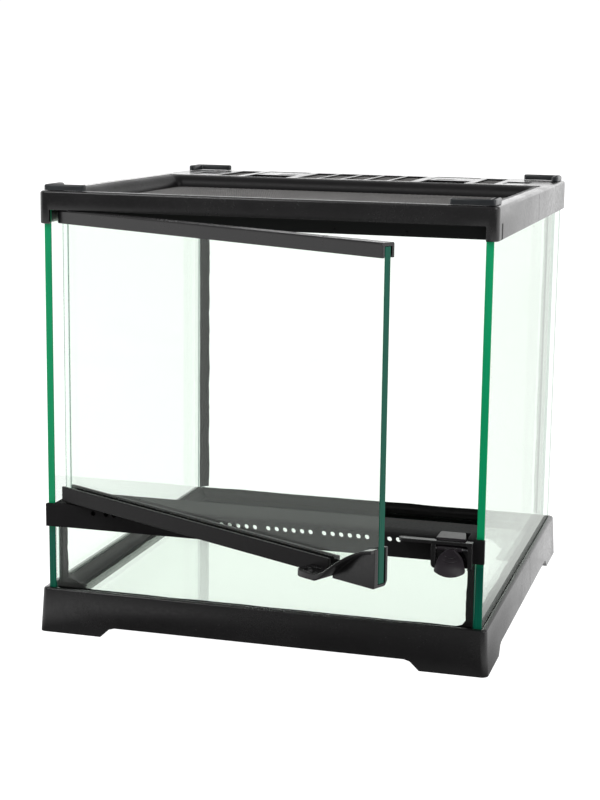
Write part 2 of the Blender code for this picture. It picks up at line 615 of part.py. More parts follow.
def top_frame():
    rim = RIM_W
    groove = WALL
    inner = WALL + 2 * GAP + GLASS_T
    skirt = inner + 0.0025
    ledge = rim + 0.0079
    profile = (
        (0.0, TOP_Z0 + 0.0006, 0.0050),
        (0.0, TANK_H - 0.0016, 0.0050),
        (0.0004, TANK_H - 0.0006, 0.0047),
        (0.0014, TANK_H, 0.0042),
        (rim - 0.0004, TANK_H, 0.0053),
        (rim, TANK_H - 0.0004, 0.0053),
        (rim, SEAT_Z, 0.0053),
        (ledge, SEAT_Z, 0.0050),
        (ledge, SEAT_Z - 0.0020, 0.0050),
        (skirt, SEAT_Z - 0.0020, 0.0006),
        (skirt, TOP_Z0, 0.0006),
        (inner, TOP_Z0, 0.0006),
        (inner, BAND_Z0, 0.0006),
        (groove, BAND_Z0, 0.0005),
        (groove, TOP_Z0, 0.0005),
        (0.0006, TOP_Z0, 0.0044),
    )
    bm = ring(bmesh.new(), -FRAME_X, FRAME_X, -FRAME_Y, FRAME_Y, profile)
    obj = make("top_frame", bm, "plastic")
    strip_y = FRAME_Y - STRIP_D
    in_x = FRAME_X - rim
    deck = bmesh.new()
    box(deck, -in_x - 0.001, in_x + 0.001, strip_y, FRAME_Y - rim + 0.001, TANK_H - 0.0025, TANK_H)
    join(obj, deck)
    front = bmesh.new()
    pts = [(strip_y - 0.0079, SEAT_Z - 0.0020), (strip_y + 0.0025, SEAT_Z - 0.0020)]
    pts += [(strip_y + 0.0025, TANK_H - 0.001), (strip_y, TANK_H - 0.001)]
    pts += [(strip_y, SEAT_Z), (strip_y - 0.0079, SEAT_Z)]
    prism(front, pts, "X", -in_x - 0.001, in_x + 0.001)
    join(obj, front)
    under = bmesh.new()
    clear = FRAME_X - skirt - 0.0001
    box(under, -clear, clear, strip_y + 0.0030, FRAME_Y - skirt - 0.0001, SEAT_Z - 0.003, SEAT_Z + 0.001)
    cut(obj, under)
    door_room = bmesh.new()
    leg = HX - 0.0048
    box(door_room, -leg, leg, -FRAME_Y - 0.001, LINTEL_Y, TOP_Z0 - 0.001, BAND_Z0)
    cut(obj, door_room)
    lintel = bmesh.new()
    lin_x = FRAME_X - inner - 0.001
    box(lintel, -lin_x, lin_x, LINTEL_Y, LINTEL_Y + 0.0026, TOP_Z0, SEAT_Z - 0.001)
    join(obj, lintel)
    blocks = bmesh.new()
    for sx in (-1, 1):
        xs = sorted((sx * (PORT_X0 - 0.0035), sx * (PORT_X1 + 0.0035)))
        box(blocks, xs[0], xs[1], strip_y + 0.001, FRAME_Y - 0.002, TANK_H - 0.0050, TANK_H - 0.001)
    join(obj, blocks)
    wins = bmesh.new()
    for k in range(5):
        x = (k - 2) * WINDOW_PITCH
        box(wins, x - WINDOW_W / 2, x + WINDOW_W / 2, WIN_Y0, WIN_Y1, TANK_H - 0.0035, TANK_H + 0.001)
    for sx in (-1, 1):
        xs = sorted((sx * SIDE_WINDOW_X, sx * (SIDE_WINDOW_X + WINDOW_W)))
        box(wins, xs[0], xs[1], WIN_Y0, WIN_Y1, TANK_H - 0.0035, TANK_H + 0.001)
    cut(obj, wins)
    beds = bmesh.new()
    for name, x0, x1, y0, y1 in vent_areas():
        box(beds, x0 - GAP, x1 + GAP, y0 - GAP, y1 + GAP, TANK_H - 0.0035, TANK_H - DECK_SKIN)
    cut(obj, beds)
    room = bmesh.new()
    for sx in (-1, 1):
        xs = sorted((sx * PORT_X0, sx * PORT_X1))
        box(room, xs[0], xs[1], PORT_Y0, PORT_Y1, PORT_FLOOR, TANK_H + 0.001)
    cut(obj, room)
    tongue = bmesh.new()
    for sx in (-1, 1):
        xs = sorted((sx * (PORT_X0 - 0.0012), sx * (PORT_X1 + 0.0012)))
        box(tongue, xs[0], xs[1], PORT_Y0, PORT_Y1, PORT_FLOOR, PORT_FLOOR + 0.0013)
    cut(obj, tongue)
    port = bmesh.new()
    for sx in (-1, 1):
        xs = sorted((sx * (PORT_X0 + 0.005), sx * (PORT_X1 - 0.005)))
        pts = rounded(xs[0], xs[1], PORT_Y1 - 0.0385, PORT_Y1 - 0.0075, 0.004, 4)
        prism(port, pts, "Z", TANK_H - 0.006, PORT_FLOOR + 0.001)
    cut(obj, port)
    marks = bmesh.new()
    for sx in (-1, 1):
        xs = sorted((sx * 0.1140, sx * 0.1330))
        box(marks, xs[0], xs[1], WIN_Y0 + 0.006, WIN_Y1 - 0.030, TANK_H - 0.0007, TANK_H + 0.001)
        xs = sorted((sx * (FRAME_X - 0.0005), sx * (FRAME_X + 0.001)))
        box(marks, xs[0], xs[1], 0.0140, 0.0145, TOP_Z0 - 0.001, TANK_H - 0.0020)
    cut(obj, marks)
    holes = bmesh.new()
    prism(holes, circle(HINGE_X, HINGE_Y, PIN_R + PIN_CLEAR, 24), "Z", BAND_Z0 - 0.001, BAND_Z0 + 0.0047)
    for x in (0.0456, 0.0928):
        prism(holes, circle(x, TOP_Z0 + 0.0033, 0.0007, 10), "Y", LINTEL_Y - 0.001, LINTEL_Y + 0.0009)
    cut(obj, holes)
    return obj


def half_turn(cx, cy, r, start, sx, sy, steps=6):
    pts = []
    for k in range(steps + 1):
        a = math.radians(start + 180.0 * k / steps)
        pts.append((sx * (cx + r * math.cos(a)), sy * (cy + r * math.sin(a))))
    return pts


def corner_pad(name, sx, sy):
    """L-shaped stacking pad with round ends and a shallow recess in its top."""
    ox = FRAME_X - 0.0028
    oy = FRAME_Y - 0.0028
    elbow = 0.0022

    def outline(d):
        r = PAD_W / 2 - d
        pts = half_turn(PAD_LONG - PAD_W / 2, PAD_W / 2, r, -90, 1, 1)
        pts.append((PAD_W - d + 0.0006, PAD_W - d))
        pts.append((PAD_W - d, PAD_W - d + 0.0006))
        pts += half_turn(PAD_W / 2, PAD_SHORT - PAD_W / 2, r, 0, 1, 1)
        for k in range(4):
            a = math.radians(180 + 90.0 * k / 3)
            pts.append((d + elbow + elbow * math.cos(a), d + elbow + elbow * math.sin(a)))
        return [(sx * (ox - p[0]), sy * (oy - p[1])) for p in pts]
    z0 = TANK_H + GAP
    z1 = z0 + PAD_H
    section = ((0.0, z0), (0.0, z1 - 0.0010), (0.0003, z1 - 0.0003), (0.0009, z1))
    section += ((0.0012, z1), (0.0014, z1 - 0.0018))
    loops = [[(p[0], p[1], z) for p in outline(d)] for d, z in section]
    return make(name, stack(bmesh.new(), loops), "pad")


def vent_sheets():
    z1 = TANK_H - DECK_SKIN - GAP
    for name, x0, x1, y0, y1 in vent_areas():
        make(name, box(bmesh.new(), x0, x1, y0, y1, z1 - MESH_T, z1), "mesh")


def port_cover(name, sx):
    x0 = PORT_X0 + GAP
    x1 = PORT_X1 - GAP
    y1 = PORT_Y1 - GAP
    y0 = y1 - COVER_L
    z0 = PORT_FLOOR + GAP
    z1 = TANK_H - GAP
    c = 0.0009
    pts = [(x0 - c, z0), (x1 + c, z0), (x1 + c, z0 + 0.0007), (x1, z0 + 0.0007)]
    pts += [(x1, z1 - 0.0002), (x1 - 0.0002, z1), (x0 + 0.0002, z1), (x0, z1 - 0.0002)]
    pts += [(x0, z0 + 0.0007), (x0 - c, z0 + 0.0007)]
    pts = [(sx * p[0], p[1]) for p in pts]
    at = (sx * (PORT_X0 + PORT_X1) / 2, (y0 + y1) / 2, z0)
    obj = make(name, prism(bmesh.new(), pts, "Y", y0, y1), "plastic", at)
    scoops = bmesh.new()
    for k in range(3):
        xs = sorted((sx * (x0 + 0.0040), sx * (x0 + 0.0190)))
        y = y0 + 0.0060 + 0.0042 * k
        pts = rounded(xs[0], xs[1], y, y + 0.0022, 0.0010, 3)
        prism(scoops, pts, "Z", z1 - 0.0009, z1 + 0.001)
    cut(obj, scoops)
    return obj


# ---------------------------------------------------------------- lid
def lid():
    z0 = LID_Z0
    z1 = LID_Z1
    rad = LID_FRAME_W - 0.0012
    profile = [(0.0, z0, 0.005), (0.0, z1 - 0.0003, 0.005), (0.0003, z1, 0.005)]
    for k in range(7):
        a = math.radians(90.0 * k / 6)
        inset = 0.0012 + rad * math.sin(a)
        drop = (z1 - z0 - 0.0009) * (1 - math.cos(a))
        profile.append((inset, z1 - drop, 0.005 - 0.001 * k / 6))
    profile.append((LID_FRAME_W, z0, 0.004))
    centre = (0.0, (LID_Y0 + LID_Y1) / 2, z0)
    bm = ring(bmesh.new(), -LID_X, LID_X, LID_Y0, LID_Y1, profile)
    make("lid_frame", bm, "plastic", centre)
    inset = LID_FRAME_W + GAP
    pts = rounded(-LID_X + inset, LID_X - inset, LID_Y0 + inset, LID_Y1 - inset, 0.0038, 5)
    sheet = prism(bmesh.new(), pts, "Z", z0 + 0.0002, z0 + 0.0010)
    make("lid_mesh", sheet, "mesh", centre)


# ---------------------------------------------------------------- door
def door():
    """Every piece is drawn with the door closed, then turned open about the hinge axis."""
    at = (HINGE_X, HINGE_Y, DOOR_Z0)
    turn = -math.radians(DOOR_OPEN)
    x0 = HINGE_X + DOOR_S0
    x1 = HINGE_X + DOOR_S1
    y0 = HINGE_Y - DOOR_T / 2
    y1 = HINGE_Y + DOOR_T / 2
    half = GLASS_T / 2
    seat = 0.0020 + GAP
    pane_x0 = x0 + 0.0008
    pane_x1 = x1 - 0.0002
    glass = pane("d", pane_x0, pane_x1, HINGE_Y - half, HINGE_Y + half, DOOR_Z0 + seat, DOOR_Z1 - seat)
    make("door_glass", glass, "glass", at, turn)
    wall = CHANNEL_WALL
    c = 0.0007
    zt = DOOR_Z1
    zb = DOOR_Z1 - TOP_CH_H
    pts = [(y0, zb), (y0 + wall, zb), (y0 + wall, zt - 0.0020), (y1 - wall, zt - 0.0020)]
    pts += [(y1 - wall, zb), (y1, zb), (y1, zt - c), (y1 - c, zt), (y0 + c, zt), (y0, zt - c)]
    upper = make("door_top_channel", prism(bmesh.new(), pts, "X", x0, x1), "plastic", at, turn)
    holes = bmesh.new()
    prism(holes, circle(HINGE_X, HINGE_Y, PIN_R + GAP, 20), "Z", zt - 0.0030, zt + 0.001)
    prism(holes, circle(HINGE_X + 0.2300, HINGE_Y, 0.0018, 16), "Z", zt - 0.0014, zt + 0.001)
    cut(upper, holes)
    zb = DOOR_Z0
    zt = DOOR_Z0 + LOW_CH_H
    end = x1 - HANDLE_L - HANDLE_GAP
    pts = [(y0, zb + c), (y0 + c, zb), (y1 - c, zb), (y1, zb + c), (y1, zt), (y1 - wall, zt)]
    pts += [(y1 - wall, zb + 0.0020), (y0 + wall, zb + 0.0020), (y0 + wall, zt), (y0, zt)]
    lower = make("door_bottom_channel", prism(bmesh.new(), pts, "X", x0, end), "plastic", at, turn)
    cut(lower, prism(bmesh.new(), circle(HINGE_X, HINGE_Y, PIN_R + GAP, 20), "Z", zb - 0.001, zb + 0.0030))
    pin = prism(bmesh.new(), circle(HINGE_X, HINGE_Y, PIN_R, 24), "Z", DOOR_Z1 - 0.0018, BAND_Z0 + 0.0042)
    make("hinge_pin_upper", pin, "steel", at, turn)
    pin = prism(bmesh.new(), circle(HINGE_X, HINGE_Y, PIN_R, 24), "Z", RAIL_TOP - 0.0040, DOOR_Z0 + 0.0018)
    make("hinge_pin_lower", pin, "steel", at, turn)
    handle(at, turn, x1, y0, y1, wall)


def handle(at, turn, x1, y0, y1, wall):
    zb = DOOR_Z0
    hx0 = x1 - HANDLE_L
    rise = HANDLE_TOP
    curve = ((0.0, rise), (0.0065, rise - 0.0012), (0.0115, rise - 0.0033), (0.0158, rise - 0.0058))
    curve += ((0.0200, rise - 0.0089), (0.0243, rise - 0.0126), (0.0285, rise - 0.0160))
    curve += ((0.0320, rise - 0.0179), (0.0350, rise - 0.0187))

    def height(back):
        for a, b in zip(curve[:-1], curve[1:]):
            if back <= b[0]:
                t = (back - a[0]) / (b[0] - a[0])
                return a[1] + (b[1] - a[1]) * t
        return curve[-1][1]
    outline = [(hx0, zb), (x1 - 0.0008, zb), (x1, zb + 0.0008), (x1, zb + rise)]
    for back, up in curve[1:7]:
        outline.append((x1 - back, zb + up))
    outline.append((hx0, zb + height(HANDLE_L)))
    body_y0 = y0 - 0.0012
    obj = make("door_handle", prism(bmesh.new(), outline, "Y", body_y0, y1), "plastic", at, turn)
    heel = [(y1 - 0.0029, zb - 0.0010), (y1 + 0.0010, zb - 0.0010), (y1 + 0.0010, zb + 0.0047)]
    cut(obj, prism(bmesh.new(), heel, "X", hx0 - 0.001, x1 + 0.001))
    slot = bmesh.new()
    box(slot, hx0 - 0.001, x1 + 0.001, y0 + wall, y1 - wall, zb + 0.0020, zb + rise + 0.001)
    cut(obj, slot)
    stations = []
    reach = ((0.0, 0.0045), (0.0065, 0.0055), (0.0115, 0.0075), (0.0158, 0.0095), (0.0200, 0.0115))
    reach += ((0.0243, 0.0130), (0.0285, 0.0140), (0.0322, 0.0142), (0.0350, 0.0142), (0.0405, 0.0142))
    reach += ((0.0465, 0.0140), (0.0485, 0.0132), (0.0498, 0.0118), (0.0502, 0.0100))
    thin = 0.0021
    grow_from = 0.0243
    e = 0.0006
    for back, q in reach:
        top = zb + height(back)
        thick = min(0.0042, thin + 0.0021 * max(0.0, back - grow_from) / 0.0100)
        low = max(zb, top - thick)
        inner_y = y0 + 0.0008
        if back > HANDLE_L:
            inner_y = y0 - GAP
        loop = [(x1 - back, inner_y, low), (x1 - back, inner_y, top), (x1 - back, y0 - q + e, top)]
        loop += [(x1 - back, y0 - q, top - e), (x1 - back, y0 - q, low + e), (x1 - back, y0 - q + e, low)]
        stations.append(loop)
    first = [(p[0] - 0.0002, p[1], p[2]) for p in stations[0]]
    stations[0] = first
    join(obj, stack(bmesh.new(), stations))
    cut(obj, prism(bmesh.new(), circle(x1 - EYE_BACK, y0 - 0.0073, EYE_R, 24), "Z", zb - 0.001, zb + 0.010))
    return obj


base_frame()
glass_box()
silicone()
front_rail()
latch_housing()
latch_lever()
coil("latch_spring", LATCH_X1 - 0.0063, LATCH_X1 - 0.0036, PIVOT_Y, PIVOT_Z, COIL_R, COIL_WIRE, 4.5, "steel")
top_frame()
for pad_name, pad_sx, pad_sy in (
    ("corner_pad_front_left", -1, -1),
    ("corner_pad_front_right", 1, -1),
    ("corner_pad_rear_left", -1, 1),
    ("corner_pad_rear_right", 1, 1),
):
    corner_pad(pad_name, pad_sx, pad_sy)
vent_sheets()
port_cover("port_cover_left", -1)
port_cover("port_cover_right", 1)
lid()
door()
for thing in bpy.data.objects:
    thing.data.shade_smooth()
    thing.data.set_sharp_from_angle(angle=math.radians(30))
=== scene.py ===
"""Looks of the small front-opening glass terrarium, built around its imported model."""
import json
import math
import bmesh
import bpy
from mathutils import Matrix, Vector, noise


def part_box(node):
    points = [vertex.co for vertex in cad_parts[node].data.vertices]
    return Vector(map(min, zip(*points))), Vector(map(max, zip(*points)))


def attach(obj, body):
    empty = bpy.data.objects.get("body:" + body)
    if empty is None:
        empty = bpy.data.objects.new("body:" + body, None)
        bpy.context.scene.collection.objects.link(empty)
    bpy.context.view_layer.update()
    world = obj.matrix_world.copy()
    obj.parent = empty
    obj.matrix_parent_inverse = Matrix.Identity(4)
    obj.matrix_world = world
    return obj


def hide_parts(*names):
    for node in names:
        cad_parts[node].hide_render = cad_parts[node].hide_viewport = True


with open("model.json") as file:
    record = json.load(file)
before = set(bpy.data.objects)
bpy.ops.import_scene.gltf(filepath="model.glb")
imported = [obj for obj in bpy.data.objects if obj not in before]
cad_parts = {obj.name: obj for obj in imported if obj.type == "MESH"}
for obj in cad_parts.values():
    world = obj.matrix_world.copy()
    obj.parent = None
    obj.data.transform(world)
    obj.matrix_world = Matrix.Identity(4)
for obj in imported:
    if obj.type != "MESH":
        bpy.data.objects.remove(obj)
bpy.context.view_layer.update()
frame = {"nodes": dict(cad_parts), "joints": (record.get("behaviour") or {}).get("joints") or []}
nodes = frame["nodes"]

# ---------------------------------------------------------------- sizes (metres, degrees)
CAMERA_AT = (0.32524, -1.17254, 0.37555)
CAMERA_YAW = -14.82
CAMERA_DOWN = 10.39
CAMERA_ROLL = 0.97
FOCAL_SHARE = 2.104575           # focal length over the frame's long side
CENTRE_SHIFT = (-0.05225, -0.0149125)
SENSOR = 36.0
CLIP = (0.05, 200.0)

# stage brightness: what the camera sees is even white, what lights the tank and shows in its
# reflections is dim in front and above, and bright behind and beside it
FLOOR_HALF = 30.0
FLOOR_DROP = 0.0002
SEEN_WHITE = 1.05
FLOOR_GLOW = (0.16, 1.20)        # dimmest, brightest
FLOOR_BEHIND = (-0.20, 0.08)     # y over which the floor grows bright
FLOOR_BESIDE = (0.155, 0.210)    # distance from the middle plane over which it does
ROOM_GLOW = (0.28, 1.75)         # dimmest, brightest
ROOM_BEHIND = (-0.45, 0.10)      # direction's y over which the room grows bright
ROOM_ABOVE = (0.20, 0.42)        # direction's z over which it dims again
LIGHTS_AIM = (0.0, 0.0, 0.12)

WELD = 0.000004
SMOOTH_ANGLE = 33.0
LID_PITCH = 0.0021
VENT_PITCH = 0.0014
WIRE_R = 0.00021
WIRE_SIDES = 3
WEAVE_LIFT = 0.95                # over and under, as a share of the wire's radius
WEAVE_TUCK = 0.0012              # how far the lid's weave runs into its frame
GLASS_HALF = 0.0025
EDGE_BLEND = 0.0070              # height over which the panes' edges darken
PAINTED_SHADE_BACK = 0.0110             # painted shade strip under the front band, from the upper frame's front
PAINTED_SHADE_UNDER = 0.0100            # and up from its bottom
BEAD_REACH = 0.0064              # floor bead's width on the pane
BEAD_STEPS = 72                  # sections along each side
BEAD_ARC = 8                     # steps round a corner bead's hollow
FRONT_LOW = 0.45                 # how much lower the floor bead is along the front
FRONT_DEPTH = 0.020              # depth over which it rises to full height


# ---------------------------------------------------------------- shader helpers
class Shader:
    """A small wrapper that adds and links shader nodes."""

    def __init__(self, name):
        self.mat = bpy.data.materials.new(name)
        self.mat.use_nodes = True
        self.tree = self.mat.node_tree
        self.tree.nodes.clear()
        self.coord = self.tree.nodes.new("ShaderNodeTexCoord")

    def add(self, kind, **values):
        node = self.tree.nodes.new("ShaderNode" + kind)
        for key, value in values.items():
            setattr(node, key, value)
        return node

    def put(self, value, socket):
        if hasattr(value, "is_output"):
            self.tree.links.new(value, socket)
        else:
            socket.default_value = value

    def math(self, op, a, b=0.0, clamp=False):
        node = self.add("Math", operation=op, use_clamp=clamp)
        self.put(a, node.inputs[0])
        self.put(b, node.inputs[1])
        return node.outputs[0]

    def dot(self, a, b):
        node = self.add("VectorMath", operation="DOT_PRODUCT")
        self.put(a, node.inputs[0])
        self.put(b, node.inputs[1])
        return node.outputs["Value"]

    def noise(self, scale, detail=3.0, rough=0.55, stretch=None, distortion=0.0):
        node = self.add("TexNoise")
        source = self.coord.outputs["Object"]
        if stretch:
            mapping = self.add("Mapping")
            mapping.inputs["Scale"].default_value = stretch
            self.put(source, mapping.inputs["Vector"])
            source = mapping.outputs[0]
        self.put(source, node.inputs["Vector"])
        node.inputs["Scale"].default_value = scale
        node.inputs["Detail"].default_value = detail
        node.inputs["Roughness"].default_value = rough
        node.inputs["Distortion"].default_value = distortion
        return node.outputs[0]

    def span(self, value, lo, hi, out_lo=0.0, out_hi=1.0):
        node = self.add("MapRange", clamp=True)
        self.put(value, node.inputs["Value"])
        for key, number in (("From Min", lo), ("From Max", hi), ("To Min", out_lo), ("To Max", out_hi)):
            node.inputs[key].default_value = number
        return node.outputs[0]

    def blend(self, share, a, b):
        node = self.add("Mix", data_type="RGBA")
        self.put(share, node.inputs["Factor"])
        colours = [s for s in node.inputs if s.type == "RGBA"]
        self.put(a, colours[0])
        self.put(b, colours[1])
        return [s for s in node.outputs if s.type == "RGBA"][0]

    def bump(self, height, distance, strength=1.0, normal=None):
        node = self.add("Bump")
        node.inputs["Strength"].default_value = strength
        node.inputs["Distance"].default_value = distance
        self.put(height, node.inputs["Height"])
        if normal:
            self.put(normal, node.inputs["Normal"])
        return node.outputs[0]

    def mix_shaders(self, share, a, b):
        node = self.add("MixShader")
        self.put(share, node.inputs[0])
        self.put(a, node.inputs[1])
        self.put(b, node.inputs[2])
        return node.outputs[0]

    def principled(self, colour, rough, normal=None, metal=0.0, specular=0.5):
        node = self.add("BsdfPrincipled")
        self.put(colour, node.inputs["Base Color"])
        self.put(rough, node.inputs["Roughness"])
        node.inputs["Metallic"].default_value = metal
        node.inputs["Specular IOR Level"].default_value = specular
        if normal:
            self.put(normal, node.inputs["Normal"])
        return node

    def finish(self, surface):
        out = self.add("OutputMaterial")
        self.put(surface, out.inputs["Surface"])
        return self.mat

    def edge_share(self, radius, lo, hi):
        """0 on flats to 1 on worn convex or concave edges, and the softened normal."""
        soft = self.add("Bevel", samples=6)
        soft.inputs["Radius"].default_value = radius
        sharp = self.add("NewGeometry").outputs["Normal"]
        apart = self.math("SUBTRACT", 1.0, self.dot(soft.outputs[0], sharp))
        return self.span(apart, lo, hi), soft.outputs[0]


def rgb(*v):
    return (v[0], v[1], v[2], 1.0)


def plastic(name, dark, light, rough, grain, edge_radius, specular=0.3, dust=0.10):
    """Injection-moulded satin plastic: fine spark-eroded grain, rubbed edges, a trace of dust."""
    s = Shader(name)
    cloud = s.noise(22.0, 4.0, 0.6)
    blotch = s.noise(160.0, 3.0, 0.6)
    fine = s.noise(2300.0, 2.0, 0.5)
    fibre = s.noise(520.0, 3.0, 0.65)
    worn, soft = s.edge_share(edge_radius, 0.02, 0.22)
    patchy = s.math("MULTIPLY", worn, s.span(blotch, 0.38, 0.68))
    base = s.blend(s.span(cloud, 0.35, 0.65), rgb(*dark), rgb(*light))
    rubbed = s.blend(s.math("MULTIPLY", patchy, 0.35), base, rgb(0.060, 0.058, 0.060))
    speck = s.span(s.noise(1250.0, 1.0, 0.3), 0.735, 0.775)
    facing_up = s.span(s.dot(s.coord.outputs["Normal"], (0.0, 0.0, 1.0)), 0.25, 0.9, 0.25, 1.0)
    dusty = s.math("MULTIPLY", s.math("MULTIPLY", speck, facing_up), dust)
    colour = s.blend(dusty, rubbed, rgb(0.42, 0.41, 0.40))
    spread = s.math("MULTIPLY", s.span(fibre, 0.3, 0.7, -0.5, 0.5), 0.10)
    wide = s.math("MULTIPLY", s.span(cloud, 0.3, 0.7, -0.5, 0.5), 0.09)
    level = s.math("ADD", s.math("ADD", spread, wide), rough)
    level = s.math("SUBTRACT", level, s.math("MULTIPLY", patchy, 0.12), clamp=True)
    grain_height = s.math("ADD", s.math("MULTIPLY", fine, 0.7), s.math("MULTIPLY", fibre, 0.5))
    normal = s.bump(grain_height, grain, 1.0, soft)
    return s.finish(s.principled(colour, level, normal, specular=specular).outputs[0])


def painted_recess_shade(source, behind_y, below_z):
    """The same plastic with painted shade: darker and duller on the strip set back under the front band.
    """
    mat = source.copy()
    mat.name = source.name + "_painted_shade"
    tree = mat.node_tree
    out = next(n for n in tree.nodes if n.type == "OUTPUT_MATERIAL")
    bright = out.inputs["Surface"].links[0].from_socket
    coord = next(n for n in tree.nodes if n.type == "TEX_COORD")
    split = tree.nodes.new("ShaderNodeSeparateXYZ")
    tree.links.new(coord.outputs["Object"], split.inputs[0])
    share = None
    for axis, lo, hi, first, last in (
        ("Y", behind_y, behind_y + 0.001, 0.0, 1.0),
        ("Y", behind_y + 0.0050, behind_y + 0.006, 1.0, 0.0),
        ("Z", below_z, below_z + 0.001, 1.0, 0.0),
    ):
        node = tree.nodes.new("ShaderNodeMapRange")
        for key, number in (("From Min", lo), ("From Max", hi), ("To Min", first), ("To Max", last)):
            node.inputs[key].default_value = number
        tree.links.new(split.outputs[axis], node.inputs["Value"])
        if share is None:
            share = node.outputs[0]
        else:
            both = tree.nodes.new("ShaderNodeMath")
            both.operation = "MULTIPLY"
            tree.links.new(share, both.inputs[0])
            tree.links.new(node.outputs[0], both.inputs[1])
            share = both.outputs[0]
    # painted shade: a near-black, duller plastic mixed in over that strip
    dull = tree.nodes.new("ShaderNodeBsdfPrincipled")
    dull.inputs["Base Color"].default_value = rgb(0.0080, 0.0084, 0.0082)
    dull.inputs["Roughness"].default_value = 0.6
    dull.inputs["Specular IOR Level"].default_value = 0.12
    mix = tree.nodes.new("ShaderNodeMixShader")
    tree.links.new(share, mix.inputs[0])
    tree.links.new(bright, mix.inputs[1])
    tree.links.new(dull.outputs[0], mix.inputs[2])
    tree.links.new(mix.outputs[0], out.inputs["Surface"])
    return mat


def rubbery(name, dark, light, rough):
    """Soft matte pad: slightly open skin with handling marks."""
    s = Shader(name)
    skin = s.noise(1500.0, 3.0, 0.6)
    mark = s.noise(70.0, 4.0, 0.6)
    worn, soft = s.edge_share(0.0005, 0.02, 0.25)
    colour = s.blend(s.span(mark, 0.35, 0.7), rgb(*dark), rgb(*light))
    colour = s.blend(s.math("MULTIPLY", worn, 0.35), colour, rgb(0.07, 0.075, 0.08))
    level = s.span(mark, 0.3, 0.7, rough - 0.07, rough + 0.07)
    return s.finish(s.principled(colour, level, s.bump(skin, 0.00004, 0.8, soft)).outputs[0])


def silicone_look(name):
    """Black sealant with tooling ripples and a few matte smears."""
    s = Shader(name)
    ripple = s.noise(130.0, 2.0, 0.45, stretch=(1.0, 1.0, 0.5))
    smear = s.noise(95.0, 4.0, 0.65)
    colour = s.blend(s.span(smear, 0.4, 0.7), rgb(0.0016, 0.0015, 0.0015), rgb(0.0030, 0.0028, 0.0028))
    level = s.span(smear, 0.35, 0.7, 0.30, 0.50)
    bumped = s.bump(ripple, 0.00018, 0.6)
    return s.finish(s.principled(colour, level, bumped, specular=0.07).outputs[0])


def steel_look(name, bright, stained):
    """Drawn steel with fine lines along the wire or pin."""
    s = Shader(name)
    line = s.noise(1900.0, 2.0, 0.5, stretch=(1.0, 1.0, 0.06))
    stain = s.noise(260.0, 3.0, 0.6)
    colour = s.blend(s.span(stain, 0.4, 0.75), rgb(*bright), rgb(*stained))
    level = s.span(line, 0.3, 0.7, 0.18, 0.36)
    return s.finish(s.principled(colour, level, s.bump(line, 0.00001, 0.6), metal=1.0).outputs[0])


def wire_look(name):
    """Black powder-coated wire with a mottled coat."""
    s = Shader(name)
    coat = s.noise(1400.0, 2.0, 0.6)
    wide = s.noise(45.0, 3.0, 0.6)
    colour = s.blend(s.span(coat, 0.4, 0.72), rgb(0.050, 0.048, 0.047), rgb(0.125, 0.118, 0.112))
    level = s.span(wide, 0.3, 0.7, 0.38, 0.55)
    return s.finish(s.principled(colour, level, s.bump(coat, 0.00002, 0.5), specular=0.6).outputs[0])


def glass_look(name, across, middle, edge_top, edge_low, split_z):
    """Clear float glass: faint green by view angle, mirror by Fresnel, solid green ground edges."""
    s = Shader(name)
    facing = s.add("LayerWeight")
    facing.inputs["Blend"].default_value = 0.5
    turned = facing.outputs["Facing"]
    tint = s.blend(s.span(turned, 0.25, 0.95), rgb(0.962, 0.980, 0.964), rgb(0.938, 0.972, 0.948))
    clear = s.add("BsdfTransparent")
    s.put(tint, clear.inputs["Color"])
    film = s.noise(9.0, 5.0, 0.6, distortion=0.6)
    gloss = s.add("BsdfGlossy")
    s.put(s.span(film, 0.35, 0.75, 0.0, 0.06), gloss.inputs["Roughness"])
    gloss.inputs["Color"].default_value = rgb(0.85, 0.89, 0.85)
    schlick = s.math("ADD", s.math("MULTIPLY", s.math("POWER", turned, 5.0), 0.96), 0.04)
    face = s.mix_shaders(schlick, clear.outputs[0], gloss.outputs[0])
    streak = s.noise(300.0, 3.0, 0.6, stretch=(1.0, 1.0, 0.05))
    height = s.add("SeparateXYZ")
    s.put(s.coord.outputs["Object"], height.inputs[0])
    top = split_z + EDGE_BLEND / 7
    low = s.span(height.outputs["Z"], top - EDGE_BLEND, top, 1.0, 0.0)
    body = s.blend(low, rgb(*edge_top), rgb(*edge_low))
    shade = s.math("MULTIPLY", s.span(streak, 0.3, 0.7), 0.35)
    body = s.blend(shade, body, rgb(*[c * 0.55 for c in edge_top]))
    polish = s.span(streak, 0.3, 0.7, 0.16, 0.34)
    rim = s.principled(body, polish, s.bump(streak, 0.00003, 0.5), specular=0.14)
    flat = s.math("ABSOLUTE", s.dot(s.coord.outputs["Normal"], across))
    share = s.span(flat, 0.80, 0.97)
    within = s.add("BsdfTransparent")
    off = s.math("ABSOLUTE", s.math("SUBTRACT", s.dot(s.coord.outputs["Object"], across), middle))
    arris = s.span(off, GLASS_HALF - 0.0010, GLASS_HALF - 0.0006)
    s.put(s.blend(arris, rgb(0.93, 0.978, 0.955), rgb(0.24, 0.32, 0.29)), within.inputs["Color"])
    inside = s.add("NewGeometry").outputs["Backfacing"]
    edge = s.mix_shaders(inside, rim.outputs[0], within.outputs[0])
    return s.finish(s.mix_shaders(share, edge, face))


